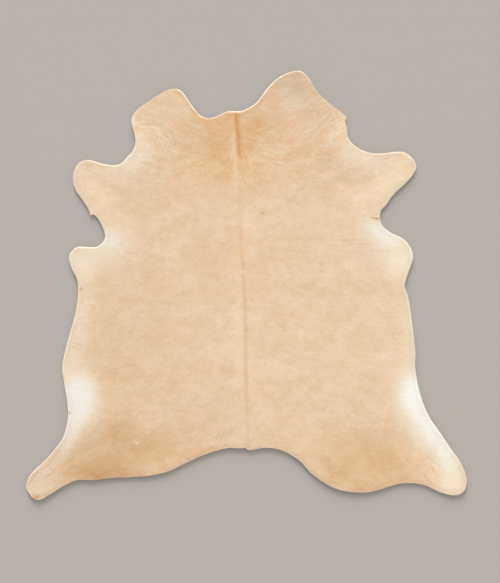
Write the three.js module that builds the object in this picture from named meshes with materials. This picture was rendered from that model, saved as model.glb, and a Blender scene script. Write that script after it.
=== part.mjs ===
// A cowhide rug: one whole short-haired hide, lying flat with its hair side up.
// Millimetres, +Z up, +Y towards the head end, +X to the right of it seen from above.
// The origin is under the middle of the hide's box, on the surface it lies on.

import * as THREE from 'three';

// Driving sizes
const LEATHER_THICKNESS = 2.5;
const COAT_THICKNESS = 3.5; // short hair lying flat on the leather
const COAT_RISE = 30; // how far in from the cut edge the coat has its full thickness
const BARE_EDGE = 5; // strip of leather along the cut edge that the hair leaves bare
const PARTING_WIDTH = 16; // half the width of the dip where the hair parts along the spine

// How finely the surfaces are divided
const EDGE_STEP = 17;
const SHOULDER_STEP = 26; // between points in the rows that follow the cut edge
const SHOULDER_INSETS = [14, BARE_EDGE + COAT_RISE]; // how far those rows lie in from it
const SHOULDER_CLEARANCE = 11;
const TOP_STEP = 38;
const UNDERSIDE_STEP = 120;
const FIELD_CLEARANCE = 0.6; // share of a field's step that it keeps from other points
const TROUGH_CLEARANCE = 0.7; // share of a trough's half width that its rows keep
const SCATTER = 0.22; // each point of the field strays by this share of its step
const SCATTER_SEED = 7;

const HIDE_COLOUR = '#e4c49e';
const HIDE_ROUGHNESS = 0.85;

// Turns rows of numbers into records with one named field for each column
function table(columns, rows) {
  return rows.map((row) => Object.fromEntries(columns.map((name, i) => [name, row[i]])));
}

// The cut edge, clockwise from above, starting where the left foreleg meets the neck
const EDGE = ['across', 'along'];
const NECK_LEFT = table(EDGE, [
  [-545, 705], [-560, 775], [-565, 805], [-550, 845], [-465, 910], [-390, 955], [-355, 963],
  [-325, 957], [-265, 879],
]);
const NECK_CUT = table(EDGE, [
  [-235, 840], [-210, 825], [-180, 820], [-150, 827], [-90, 854], [-25, 855], [35, 885], [57, 905],
]);
const NECK_RIGHT = table(EDGE, [
  [95, 957], [150, 1014], [185, 1033], [225, 1049], [265, 1051], [296, 1028], [350, 945], [400, 898],
  [490, 820], [483, 808], [492, 775], [496, 735],
]);
const FORELEG_RIGHT = table(EDGE, [
  [512, 703], [552, 670], [605, 651], [650, 646], [740, 655], [778, 650], [822, 612], [833, 580],
  [820, 547], [776, 497], [718, 443], [680, 391],
]);
const ELBOW_RIGHT = table(EDGE, [
  [661, 371], [655, 345], [663, 300], [693, 268], [780, 219], [812, 168], [817, 135],
]);
const FLANK_RIGHT = table(EDGE, [
  [778, 10], [778, -15], [791, -50], [803, -113], [823, -275], [829, -335], [828, -400],
  [850, -525], [876, -602], [905, -660],
]);
const HIND_LEG_RIGHT = table(EDGE, [
  [938, -706], [1003, -802], [1048, -866], [1073, -925], [1080, -962], [1067, -1007], [1035, -1027],
  [981, -1024], [864, -977], [830, -971],
]);
const RUMP_RIGHT = table(EDGE, [
  [755, -972], [585, -1015], [435, -996], [315, -920], [265, -865], [175, -811], [95, -797],
]);
const TAIL = table(EDGE, [
  [15, -809], [0, -804], [-7, -797], [-20, -800],
]);
const RUMP_LEFT = table(EDGE, [
  [-90, -799], [-190, -825], [-320, -883], [-375, -910], [-490, -935], [-665, -945], [-755, -955],
]);
const HIND_LEG_LEFT = table(EDGE, [
  [-830, -955], [-915, -995], [-950, -1018], [-1015, -1052], [-1040, -1048], [-1080, -990],
  [-1064, -935], [-1045, -912], [-985, -855], [-928, -788], [-898, -742],
]);
const FLANK_LEFT = table(EDGE, [
  [-877, -660], [-876, -600], [-895, -475], [-904, -405], [-885, -305], [-833, -110], [-826, -15],
]);
const ELBOW_LEFT = table(EDGE, [
  [-832, 30], [-857, 80], [-870, 125], [-867, 152], [-838, 184], [-813, 190], [-765, 187],
  [-728, 192], [-700, 219], [-694, 245], [-723, 318], [-745, 345],
]);
const TORN_TAB = table(EDGE, [
  [-753, 347], [-762, 341], [-776, 377],
]);
const FORELEG_LEFT = table(EDGE, [
  [-843, 480], [-851, 520], [-845, 560], [-823, 598], [-786, 615], [-698, 595], [-655, 589],
  [-628, 592], [-608, 603], [-583, 632], [-562, 652],
]);
const CUT_EDGE = [
  NECK_LEFT, NECK_CUT, NECK_RIGHT, FORELEG_RIGHT, ELBOW_RIGHT, FLANK_RIGHT, HIND_LEG_RIGHT,
  RUMP_RIGHT, TAIL, RUMP_LEFT, HIND_LEG_LEFT, FLANK_LEFT, ELBOW_LEFT, TORN_TAB, FORELEG_LEFT,
].flat();

// The spine from the neck cut to the tail: a deep crease over the neck, then a faint parting
const SPINE = table(['across', 'along', 'depth'], [
  [-46, 855, 1.6],
  [-44, 760, 2.0],
  [-46, 640, 2.1],
  [-44, 600, 0.5],
  [-36, 394, 0.6],
  [-22, 124, 0.7],
  [-7, -219, 0.9],
  [-2, -562, 0.6],
  [3, -800, 0.4],
]);

// Creases in the loose skin, each through three points, width being half across
const CREASE = ['across1', 'along1', 'across2', 'along2', 'across3', 'along3', 'width', 'depth'];
const NECK_CREASES = table(CREASE, [
  [-560, 775, -455, 785, -340, 722, 12, 1.8],
  [-350, 726, -240, 708, -129, 698, 12, 1.0],
  [-423, 761, -390, 712, -350, 668, 9, 1.2],
  [-482, 712, -440, 682, -399, 663, 9, 1.1],
  [-413, 820, -382, 796, -345, 757, 9, 1.2],
  [-291, 707, -258, 672, -222, 639, 8, 1.0],
  [-311, 820, -280, 812, -248, 795, 8, 0.9],
  [478, 815, 440, 808, 405, 790, 10, 1.4],
  [405, 800, 380, 778, 345, 745, 9, 1.3],
  [385, 828, 345, 806, 290, 755, 9, 1.4],
  [275, 735, 240, 715, 195, 700, 9, 1.1],
  [262, 775, 190, 705, 116, 634, 9, 1.2],
  [321, 850, 280, 812, 233, 771, 8, 0.9],
]);
const SIDE_CREASES = table(CREASE, [
  [600, 322, 630, 325, 655, 331, 8, 1.4],
  [517, 144, 600, 146, 700, 160, 9, 0.7],
  [440, 212, 540, 208, 640, 214, 9, 0.6],
  [-880, -290, -840, -294, -796, -282, 9, 1.2],
]);
const CREASE_STEPS = 6; // straight stretches that stand for one crease

// Broad swells and hollows of the hide, where the coat lies fuller or thinner
const SWELLS = table(['across', 'along', 'reach', 'height'], [
  [-40, 520, 240, 0.9],
  [330, 450, 220, 0.5],
  [-330, 430, 220, 0.4],
  [-260, -120, 260, 0.5],
  [300, -250, 260, 0.6],
  [-420, -780, 200, 0.7],
  [430, -880, 190, 0.7],
  [-740, -430, 160, -0.6],
  [760, -480, 150, -0.6],
  [0, -420, 200, -0.4],
]);

// 0 at or below 0, 1 at or above 1, and a smooth climb between
const ease = (share) => THREE.MathUtils.smoothstep(share, 0, 1);

// 1 in the middle of something and 0 at its reach, smooth at both
const bell = (distance, reach) => 1 - ease(distance / reach);

// How far a point is from the straight line between two others, and how far along it that is
function offLine(point, from, to) {
  const along = to.clone().sub(from);
  const share = THREE.MathUtils.clamp(point.clone().sub(from).dot(along) / along.lengthSq(), 0, 1);
  const nearest = from.clone().addScaledVector(along, share);
  return { distance: nearest.distanceTo(point), share };
}

// Points along the cut edge, counter-clockwise, with one on each of its named points
function cutEdge() {
  const corners = CUT_EDGE.map(({ across, along }) => new THREE.Vector3(across, along, 0));
  const curve = new THREE.CatmullRomCurve3(corners, true, 'centripetal');
  const points = corners.flatMap((corner, i) => {
    const next = corners[(i + 1) % corners.length];
    const steps = Math.ceil(corner.distanceTo(next) / EDGE_STEP);
    return Array.from({ length: steps }, (_, step) => {
      const { x, y } = curve.getPoint((i + step / steps) / corners.length);
      return new THREE.Vector2(x, y);
    });
  });
  return points.reverse();
}

function distanceToEdge(point, edge) {
  const distances = edge.map((from, i) => offLine(point, from, edge[(i + 1) % edge.length]).distance);
  return Math.min(...distances);
}

// Whether a point is on the hide: a ray from it crosses the edge an odd number of times
function onHide(point, edge) {
  let crossings = 0;
  edge.forEach((from, i) => {
    const to = edge[(i + 1) % edge.length];
    if ((from.y > point.y) !== (to.y > point.y)) {
      const share = (point.y - from.y) / (to.y - from.y);
      crossings += point.x < from.x + share * (to.x - from.x) ? 1 : 0;
    }
  });
  return crossings % 2 === 1;
}

// The spine as a trough: points along it, how deep each is, and half its width
const spine = {
  points: SPINE.map(({ across, along }) => new THREE.Vector2(across, along)),
  depths: SPINE.map(({ depth }) => depth),
  width: PARTING_WIDTH,
};

// A crease as a trough that fades out at both ends
function creaseTrough({ across1, along1, across2, along2, across3, along3, width, depth }) {
  const ends = [[across1, along1], [across2, along2], [across3, along3]];
  const curve = new THREE.SplineCurve(ends.map(([x, y]) => new THREE.Vector2(x, y)));
  const points = curve.getPoints(CREASE_STEPS);
  const depths = points.map((_, i) => depth * Math.sin(Math.PI * i / CREASE_STEPS) ** 0.5);
  return { points, depths, width };
}

const TROUGHS = [spine, ...[...NECK_CREASES, ...SIDE_CREASES].map(creaseTrough)];

// How deep the deepest trough is at a point
function dip(point) {
  const dips = TROUGHS.flatMap(({ points, depths, width }) => points.slice(1).map((end, i) => {
    const { distance, share } = offLine(point, points[i], end);
    return THREE.MathUtils.lerp(depths[i], depths[i + 1], share) * bell(distance, width);
  }));
  return Math.max(...dips);
}

function swell(point) {
  return SWELLS.reduce((sum, { across, along, reach, height }) => {
    const distance = Math.hypot(point.x - across, point.y - along);
    return sum + height * bell(distance, reach);
  }, 0);
}

// Height of the hair side over a point: bare leather at the edge, and the full coat further in
function hairHeight(point, edge) {
  const inward = distanceToEdge(point, edge) - BARE_EDGE;
  const coat = COAT_THICKNESS + swell(point) - dip(point);
  return LEATHER_THICKNESS + coat * ease(inward / COAT_RISE);
}

// Adds the candidates that lie on the hide, clear of its edge and of each other
function addClear(points, candidates, clearance, edge) {
  candidates.forEach((candidate) => {
    const crowded = points.some((point) => point.distanceTo(candidate) < clearance);
    if (!crowded && onHide(candidate, edge) && distanceToEdge(candidate, edge) > clearance) {
      points.push(candidate);
    }
  });
}

// A row of points that follows the cut edge further in
function shoulderRow(edge, inset) {
  const row = [];
  edge.forEach((point, i) => {
    const before = edge.at(i - 1);
    const after = edge[(i + 1) % edge.length];
    const inward = new THREE.Vector2(before.y - after.y, after.x - before.x).normalize();
    const placed = point.clone().addScaledVector(inward, inset);
    if (row.every((other) => other.distanceTo(placed) > SHOULDER_STEP)) {
      row.push(placed);
    }
  });
  return row;
}

// Points down the middle of a trough and along both its brims
function troughRows({ points, width }) {
  return points.slice(1).flatMap((to, i) => {
    const from = points[i];
    const length = from.distanceTo(to);
    const aside = new THREE.Vector2(from.y - to.y, to.x - from.x).setLength(width);
    const steps = Math.max(1, Math.round(length / (width * 2)));
    return [0, 1, -1].flatMap((side) => Array.from({ length: steps + 1 }, (_, step) => (
      from.clone().lerp(to, step / steps).addScaledVector(aside, side)
    )));
  });
}

// A field of points in staggered rows, each strayed a little, over the hide's whole box
function field(step, edge) {
  const box = new THREE.Box2().setFromPoints(edge);
  const rowStep = step * Math.sqrt(3) / 2;
  const stray = () => (THREE.MathUtils.seededRandom() - 0.5) * 2 * SCATTER * step;
  const points = [];
  THREE.MathUtils.seededRandom(SCATTER_SEED);
  for (let row = 0; box.min.y + row * rowStep < box.max.y; row += 1) {
    const stagger = row % 2 ? step / 2 : 0;
    for (let x = box.min.x + stagger; x < box.max.x; x += step) {
      points.push(new THREE.Vector2(x + stray(), box.min.y + row * rowStep + stray()));
    }
  }
  return points;
}

// A triangle with its circumscribed circle, its corners being places in a list of points
function circled(corners, points) {
  const [a, b, c] = corners.map((corner) => points[corner]);
  const ab = b.clone().sub(a);
  const ac = c.clone().sub(a);
  const twice = 2 * ab.cross(ac);
  const centre = new THREE.Vector2(
    (ac.y * ab.lengthSq() - ab.y * ac.lengthSq()) / twice,
    (ab.x * ac.lengthSq() - ac.x * ab.lengthSq()) / twice,
  );
  return { corners, radiusSquared: centre.lengthSq(), centre: centre.add(a) };
}

// Delaunay triangles: each point in turn reopens the triangles whose circles hold it
function delaunay(points) {
  const far = 1e5;
  const outer = [[-far, -far], [far, -far], [0, far]].map(([x, y]) => new THREE.Vector2(x, y));
  const all = [...points, ...outer];
  const count = points.length;
  let triangles = [circled([count, count + 1, count + 2], all)];
  points.forEach((point, index) => {
    const holds = ({ centre, radiusSquared }) => centre.distanceToSquared(point) < radiusSquared;
    const border = new Map();
    triangles.filter(holds).forEach(({ corners }) => corners.forEach((from, i) => {
      const to = corners[(i + 1) % 3];
      if (!border.delete(`${to} ${from}`)) {
        border.set(`${from} ${to}`, [from, to, index]);
      }
    }));
    triangles = triangles.filter((triangle) => !holds(triangle));
    border.forEach((corners) => triangles.push(circled(corners, all)));
  });
  return triangles.map(({ corners }) => corners).filter((corners) => Math.max(...corners) < count);
}

// The Delaunay triangles that lie on the hide
function cover(points, edge) {
  return delaunay(points).filter((corners) => {
    const middle = new THREE.Vector2();
    corners.forEach((corner) => middle.addScaledVector(points[corner], 1 / 3));
    return onHide(middle, edge);
  });
}

// The whole hide as one closed solid: hair side, flat underside and the cut edge between
function hideGeometry() {
  const edge = cutEdge();
  const top = [...edge];
  SHOULDER_INSETS.forEach((inset) => {
    addClear(top, shoulderRow(edge, inset), SHOULDER_CLEARANCE, edge);
  });
  TROUGHS.forEach((trough) => {
    addClear(top, troughRows(trough), trough.width * TROUGH_CLEARANCE, edge);
  });
  addClear(top, field(TOP_STEP, edge), TOP_STEP * FIELD_CLEARANCE, edge);
  const underside = [...edge];
  addClear(underside, field(UNDERSIDE_STEP, edge), UNDERSIDE_STEP * FIELD_CLEARANCE, edge);

  const positions = [
    ...top.flatMap((point) => [point.x, point.y, hairHeight(point, edge)]),
    ...underside.flatMap((point) => [point.x, point.y, 0]),
  ];
  const below = top.length; // the underside's points come after the hair side's
  const faces = [
    ...cover(top, edge).flat(),
    ...cover(underside, edge).flatMap(([a, b, c]) => [below + a, below + c, below + b]),
    ...edge.flatMap((_, i) => {
      const next = (i + 1) % edge.length;
      return [i, below + i, below + next, i, below + next, next];
    }),
  ];
  const geometry = new THREE.BufferGeometry();
  geometry.setAttribute('position', new THREE.Float32BufferAttribute(positions, 3));
  geometry.setIndex(faces);
  geometry.computeVertexNormals();
  return geometry;
}

const hide = new THREE.Mesh(hideGeometry(), new THREE.MeshStandardMaterial({
  color: HIDE_COLOUR,
  roughness: HIDE_ROUGHNESS,
  metalness: 0,
}));
hide.name = 'hide';

const rug = new THREE.Group();
rug.add(hide);

export default rug;
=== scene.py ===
import bmesh
import bpy
import numpy as np
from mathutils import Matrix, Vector
from mathutils.bvhtree import BVHTree
from mathutils.geometry import delaunay_2d_cdt
from mathutils.kdtree import KDTree


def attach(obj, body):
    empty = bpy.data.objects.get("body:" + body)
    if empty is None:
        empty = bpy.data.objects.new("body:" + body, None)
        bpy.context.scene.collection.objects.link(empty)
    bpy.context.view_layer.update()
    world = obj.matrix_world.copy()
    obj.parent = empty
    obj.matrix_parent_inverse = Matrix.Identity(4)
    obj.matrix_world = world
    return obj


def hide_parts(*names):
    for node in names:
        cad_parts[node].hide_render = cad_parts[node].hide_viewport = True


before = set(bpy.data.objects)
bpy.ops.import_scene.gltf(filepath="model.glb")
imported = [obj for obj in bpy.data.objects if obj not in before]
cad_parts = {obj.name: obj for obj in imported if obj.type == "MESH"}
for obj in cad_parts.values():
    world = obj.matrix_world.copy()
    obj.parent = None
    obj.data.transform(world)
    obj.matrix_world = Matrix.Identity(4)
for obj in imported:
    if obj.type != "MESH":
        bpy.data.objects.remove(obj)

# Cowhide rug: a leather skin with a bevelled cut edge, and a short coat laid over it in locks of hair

# The hide's sizes, in metres: across is +X, along is +Y towards the head end
LEATHER = 0.0025
FULL_COAT = 0.006  # leather and coat together
EDGE_ROLL = 0.037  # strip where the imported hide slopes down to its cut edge; the coat is read as full there
CUT_BEVEL = 0.0007
BARE_STRIP = 0.0018  # leather that shows along the cut edge
BARE_FADE = 0.002
HAIR_LIES_AT = 0.62  # where in the coat's height the hair lies: 0 on the leather, 1 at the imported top
COAT_STARTS = 0.004  # how far in from the cut edge the skin begins to rise under the coat
COAT_FULL = 0.030
NECK_BEGINS = 0.45
NECK_FULL = 0.75

# How the cut edge curls up off the floor: by how much, from how far in, and how unevenly
CURL_HEIGHT = 0.006
CURL_REACH = 0.25
CURL_UNEVEN = 0.35
CURL_WAVE = 0.22
CURL_SEED = 51

# How finely the skin is divided. A field's points stray, and keep clear of the edge, by shares of its step
EDGE_STEP = 0.0045
TOP_FIELD = {"step": 0.009, "stray": 0.16, "clearance": 0.7, "seed": 2}
UNDERSIDE_FIELD = {"step": 0.03, "stray": 0.2, "clearance": 0.5, "seed": 4}
ROW_SHARE = 0.866  # of the step, between two staggered rows
NO_GAP = 1e-9  # points nearer each other than this count as one

# The skin's three parts, and how high up the baked picture each lies, from 0 to 1
TOP, WALLS, UNDERSIDE = range(3)
WALL_BANDS = 3
TOP_MAP_HEIGHT = 0.62
UNDERSIDE_MAP_START = 0.65
UNDERSIDE_MAP_HEIGHT = 0.29
WALL_MAP_START = 0.95
WALL_MAP_HEIGHT = 0.05

# The coat's locks: a lock is a flat tuft of hairs, with a root, two sides, a raised middle and a tip
COAT_BANDS = ("coat_rump", "coat_loins", "coat_ribs", "coat_shoulders", "coat_neck")
BAND_SEED = 51
ROOT, LEFT, RIGHT, MIDDLE, TIP = range(5)
LOCK_LEAF = np.array([(ROOT, MIDDLE, LEFT), (ROOT, RIGHT, MIDDLE), (LEFT, MIDDLE, TIP), (MIDDLE, RIGHT, TIP)])
LOCK_SPACING = 0.00415
LOCK_STRAY = 0.42
LOCK_SEED = 41
LOCK_HALF_WIDTH = 0.0013
LOCK_LENGTH = 0.017
NECK_LOCK_LENGTH = 0.024
LOCK_SIZES = (0.75, 1.25)
LOCK_MIDDLE = 0.45  # where along a lock its middle is
LOCK_ROOT_INSET = 0.002

# How the locks lie: degrees that they turn by chance and in waves, and how they are shortened at the edge
LAY_SEED = 42
LOCK_TURN = 9.0
WAVE_TURN = 10
WAVE_SIZE = 0.03
WAVE_SEED = 33
EDGE_LOCK_SHARE = 0.45
EDGE_LOCK_REACH = 0.02
SHAGGY_OVERHANG = 0.003
TRIMMED_OVERHANG = -0.0015
OVERHANG_STRAY = 0.0015
SHAGGY_GAIN = 2
SHORTENING = 0.7
SHORTENINGS = 3

# How far a lock's middle, sides and tip stand up, how far its root sinks, and its slope beyond the edge
LOCK_LIFT = 0.0002
SIDE_LIFT = 0.00015
TIP_LIFTS = (0.6, 1.3)
ROOT_SINK = 0.00015
LOCK_DROOP = 0.35

# Red, green and blue along a lock, as shares of its own colour, and the skin's share under the locks
ROOT_TINT = np.array([0.985, 0.965, 0.950])
# A touch lighter on the raised ridge than on the sides: a painted highlight
RIDGE_HIGHLIGHT = np.array([1.000, 1.004, 1.008])
TIP_TINT = np.array([1.002, 1.008, 1.016])
# The skin's share: darker under the locks, as painted shade between them
NAP_PAINTED_SHADE = 0.96

# How far single locks, and streaks of many, differ in colour, over the body and at the neck
LOCK_SHADE = 0.10
NECK_LOCK_SHADE = 0.25
STREAK_SHADE = 0.09
NECK_STREAK_SHADE = 0.48
STREAK_WIDTH = 0.0045
STREAK_REACH = 0.017
STREAK_STEPS = 11
STREAK_GAIN = 2.2
STREAK_SEED = 61

# How the hide is read from the frame
EDGE_SAMPLE = 0.0015
CELL = 0.004
MARGIN = 0.04
ABOVE = 0.1
MERGE = 0.00001
WALL_SLOPE = 0.3
FLOOR_BAND = 0.0001
NEAR_CELLS = 2  # nearer the edge than this many cells, which side a place is on comes from the edge itself
LAST_CELL = 1.01  # keeps a blend of four cells on the grid
FINE_BLUR = 5
BROAD_BLUR = 60
TROUGH_STARTS = 0.03
TROUGH_FULL = 0.06

# The lattice of the soft clouds, turned so that its rows don't show
CLOUD_CELLS = 64
CLOUD_SHIFT = 200
CLOUD_COSINE = 0.8
CLOUD_SINE = 0.6

# Fine grain: its scale, its height in metres and its range of roughness, and what it does to the shade
HAIR_GRAIN = {"scale": 260.0, "height": 0.0001, "roughness": (0.55, 0.70)}
CUT_GRAIN = {"scale": 700.0, "height": 0.0003, "roughness": (0.75, 0.92)}
SUEDE_GRAIN = {"scale": 1100.0, "height": 0.0003, "roughness": (0.75, 0.92)}
GRAIN_DETAIL = 3.0
GRAIN_SWING = 0.08
GRAIN_TINT = (0.25, 0.6, 1.0)  # red, green and blue: the coat varies most in blue
GRAIN_BUMP = 0.5

# The hide is dull: any gloss, or more sheen, turns it white when seen from low down
GLOSS = 0.0
SHEEN = 0.02
SHEEN_ROUGHNESS = 0.4

# Blotches of bare leather
BLOTCH_SCALE = 28.0
BLOTCH_DETAIL = 4.0
BLOTCH_RANGE = (0.3, 0.7)
BLOTCH_DARK = 0.88

# The plain floor, just under the rug
FLOOR_REACH = 60.0
FLOOR_HEIGHT = -0.0002
FLOOR_ROUGHNESS = 0.9

# The two lights: name, degrees anticlockwise from the rug's right, degrees up, strength, breadth in degrees
SUNS = [
    ("overhead", 75, 66, 0.83, 50),
    ("from_head_end", 96, 16, 4.05, 28),
]

# How bright the pale room is from the floor's level (0) to straight above (1), as shares of its brightest
WALL_LIGHT = [
    (0.0, 0.50),
    (0.20, 0.55),
    (0.28, 1.0),
    (0.62, 0.17),
]
WALL_BRIGHTNESS = 1.48
ROOM_TINT = np.array([1.0, 0.985, 0.965])

# The camera looks straight down through a long lens, as in the photo
PHOTO_WIDTH_PX = 500
PHOTO_HEIGHT_PX = 583
PIXEL = 0.0049
PIXEL_HEIGHT = 0.012  # how high above the floor a pixel is that wide
MIDDLE_X_PX = 246.5
MIDDLE_Y_PX = 285.4
LENS_MM = 85
SENSOR_MM = 36
CLIP_START = 0.1
CLIP_END = 100


def table(columns, rows):
    """The rows as one array for each named column."""
    names = columns.split()
    return {name: np.array([row[place] for row in rows]) for place, name in enumerate(names)}


def shade(code):
    """A colour code as three display values from 0 to 1."""
    return np.array([int(code[place:place + 2], 16) for place in (1, 3, 5)]) / 255


def linear(display):
    """Display values as the linear light that materials use, by the standard display curve."""
    display = np.clip(display, 0, 1)
    return np.where(display <= 0.04045, display / 12.92, ((display + 0.055) / 1.055) ** 2.4)


def ease(value, start, end):
    """0 before start, 1 after end, smooth between."""
    part = np.clip((value - start) / (end - start), 0, 1)
    return part * part * (3 - 2 * part)


def at_neck(y, body, neck):
    """The body's value, turning into the neck's towards the head end."""
    return body + (neck - body) * ease(y, NECK_BEGINS, NECK_FULL)


# Colours of the coat and the leather
TAN = "#e9cba8"
PALE = "#f1d9b8"
CREAM = "#f3e6cf"
WHITE = "#faf7ef"
DULL_WHITE = "#f0ebe2"
WARM = "#e4b788"
SAND = "#e0b788"
UMBER = "#cb9b6b"
RUSSET = "#dca46e"
DEEP = "#cd935f"
COPPER = "#dc9a58"
AMBER = "#e0a56d"
ORANGE = "#eda75f"
GREY_TAN = "#e0c6a8"
# A neutral dun, used as painted shade
SHADE_DUN = "#c9a67c"
DUSK = "#c4ab95"
RIM = "#efe8dc"
# The cut edge's walls: darker than the rim's leather, as painted shade against the low light that falls full
# on them
CUT_LEATHER = "#d0c9bd"
SUEDE = "#dcc7a8"
FLOOR_GREY = "#b1aba5"

# Broad changes of colour over the body: ovals, turned anticlockwise by turn degrees, that fade outwards
ZONES = table("across along half_across half_along turn strength tone", [
    (-0.06, 0.71, 0.304, 0.176, 0, 0.48, WARM),
    (-0.17, 0.71, 0.127, 0.118, 0, 0.15, RUSSET),
    (-0.05, 0.83, 0.167, 0.039, 0, 0.34, RUSSET),
    (0.03, 0.72, 0.059, 0.078, 0, 0.15, RUSSET),
    (0.05, 0.77, 0.078, 0.088, 0, 0.16, RUSSET),
    (-0.15, 0.56, 0.167, 0.088, 0, 0.28, WARM),
    (0.12, 0.56, 0.176, 0.088, 0, 0.18, WARM),
    (-0.30, 0.54, 0.080, 0.080, 0, 0.40, WARM),
    (0.32, 0.62, 0.078, 0.127, 0, 0.40, SAND),
    (0.25, 0.97, 0.127, 0.098, -30, 0.85, GREY_TAN),
    (0.36, 0.81, 0.088, 0.098, -30, 0.45, GREY_TAN),
    (0.40, 0.66, 0.059, 0.127, -15, 0.35, GREY_TAN),
    (-0.53, 0.71, 0.072, 0.118, 0, 0.75, PALE),
    (0.46, 0.76, 0.045, 0.088, 0, 0.85, PALE),
    (0.24, 0.98, 0.130, 0.080, -30, 0.30, DUSK),
    (0.52, 0.36, 0.200, 0.240, 0, 0.42, PALE),
    (0.46, -0.28, 0.200, 0.300, 0, 0.34, PALE),
    (-0.74, 0.47, 0.147, 0.127, 0, 0.40, PALE),
    (0.74, 0.58, 0.167, 0.098, 0, 0.80, PALE),
    # The two dun ovals are painted shade: they even out the brighter light towards the curled rear edge
    (-0.62, -0.39, 0.220, 0.300, 0, 0.16, SHADE_DUN),
    (-0.06, -0.70, 0.270, 0.160, 0, 0.18, SHADE_DUN),
    (-0.06, -0.72, 0.270, 0.140, 0, 0.15, DUSK),
    (0.12, 0.24, 0.100, 0.100, 0, 0.25, PALE),
    (-0.38, 0.22, 0.110, 0.110, 0, 0.24, PALE),
    (0.58, -0.10, 0.090, 0.090, 0, 0.30, PALE),
    (0.28, -0.15, 0.090, 0.120, 0, 0.14, SAND),
    (-0.68, -0.22, 0.064, 0.343, 0, 0.30, SAND),
    (-0.62, -0.61, 0.098, 0.176, 0, 0.26, SAND),
    (-0.61, -0.79, 0.265, 0.127, 0, 0.50, UMBER),
    (-0.72, -0.88, 0.216, 0.069, 0, 0.48, UMBER),
    (-0.63, -0.72, 0.098, 0.059, 0, 0.14, UMBER),
    (0.62, -0.84, 0.195, 0.125, -8, 0.41, UMBER),
    (0.45, -0.90, 0.098, 0.062, -30, 0.48, UMBER),
    (0.62, -0.75, 0.088, 0.049, 0, 0.16, UMBER),
    (0.75, -0.89, 0.098, 0.059, 0, 0.10, UMBER),
    (0.58, -0.44, 0.078, 0.245, 0, 0.12, SAND),
    (0.72, -0.12, 0.050, 0.150, 0, 0.06, SAND),
    (-0.72, -0.92, 0.225, 0.039, -6, 0.50, UMBER),
    (-0.40, -0.88, 0.147, 0.039, 12, 0.35, SAND),
    (-1.01, -0.96, 0.098, 0.088, 40, 0.88, GREY_TAN),
    (-0.98, -0.95, 0.130, 0.100, 40, 0.20, DUSK),
    (-0.62, -0.80, 0.300, 0.120, 0, 0.14, DUSK),
    (0.50, -0.98, 0.180, 0.035, 0, 0.32, UMBER),
    (0.31, -0.85, 0.118, 0.039, -40, 0.16, SAND),
    (-0.05, 0.625, 0.090, 0.035, 0, 0.30, RUSSET),
    (-0.10, 0.70, 0.050, 0.050, 0, 0.20, PALE),
])

# Cream places along the edge of the hide
MARKINGS = table("across along half_across half_along turn strength tone", [
    (-0.84, -0.55, 0.110, 0.170, 0, 1.00, CREAM),
    (-0.83, -0.20, 0.054, 0.160, 5, 0.30, CREAM),
    (-0.885, -0.765, 0.052, 0.127, -28, 0.70, CREAM),
    (-1.00, -0.885, 0.050, 0.078, -35, 0.42, CREAM),
    (-1.02, -0.99, 0.078, 0.059, 35, 0.32, CREAM),
    (0.83, -0.55, 0.092, 0.145, 12, 1.00, CREAM),
    (0.90, -0.68, 0.108, 0.167, 32, 1.00, CREAM),
    (0.99, -0.85, 0.088, 0.137, 25, 0.90, CREAM),
    (1.02, -0.97, 0.069, 0.059, 0, 0.55, CREAM),
    (0.79, -0.22, 0.039, 0.196, 3, 0.30, CREAM),
    (-0.68, 0.21, 0.127, 0.093, 0, 0.85, CREAM),
    (-0.79, 0.12, 0.110, 0.088, 0, 0.74, CREAM),
    (-0.67, 0.08, 0.127, 0.088, 0, 0.25, CREAM),
    (0.68, 0.22, 0.147, 0.103, -20, 0.95, CREAM),
    (0.76, 0.14, 0.098, 0.098, 0, 0.80, CREAM),
    (0.55, 0.63, 0.108, 0.049, -20, 0.65, CREAM),
    (-0.58, 0.61, 0.088, 0.069, 20, 0.60, CREAM),
])

# White places: even to near their rim, then a quick fade into the coat round them
WHITES = table("across along half_across half_along turn strength tone", [
    (-0.825, -0.552, 0.076, 0.094, -4, 1.00, DULL_WHITE),
    (-0.85, -0.66, 0.059, 0.088, -10, 0.60, DULL_WHITE),
    (0.822, -0.542, 0.069, 0.094, 14, 1.00, WHITE),
    (0.88, -0.65, 0.062, 0.110, 33, 0.85, WHITE),
    (0.945, -0.755, 0.064, 0.110, 33, 0.66, WHITE),
    (0.855, -0.760, 0.044, 0.075, 33, 0.34, WHITE),
    (1.00, -0.86, 0.044, 0.078, 22, 0.36, WHITE),
    (-0.68, 0.22, 0.054, 0.044, 20, 0.60, DULL_WHITE),
    (0.69, 0.25, 0.088, 0.050, -28, 0.55, WHITE),
    (0.64, 0.28, 0.045, 0.045, 0, 0.32, WHITE),
])

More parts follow.
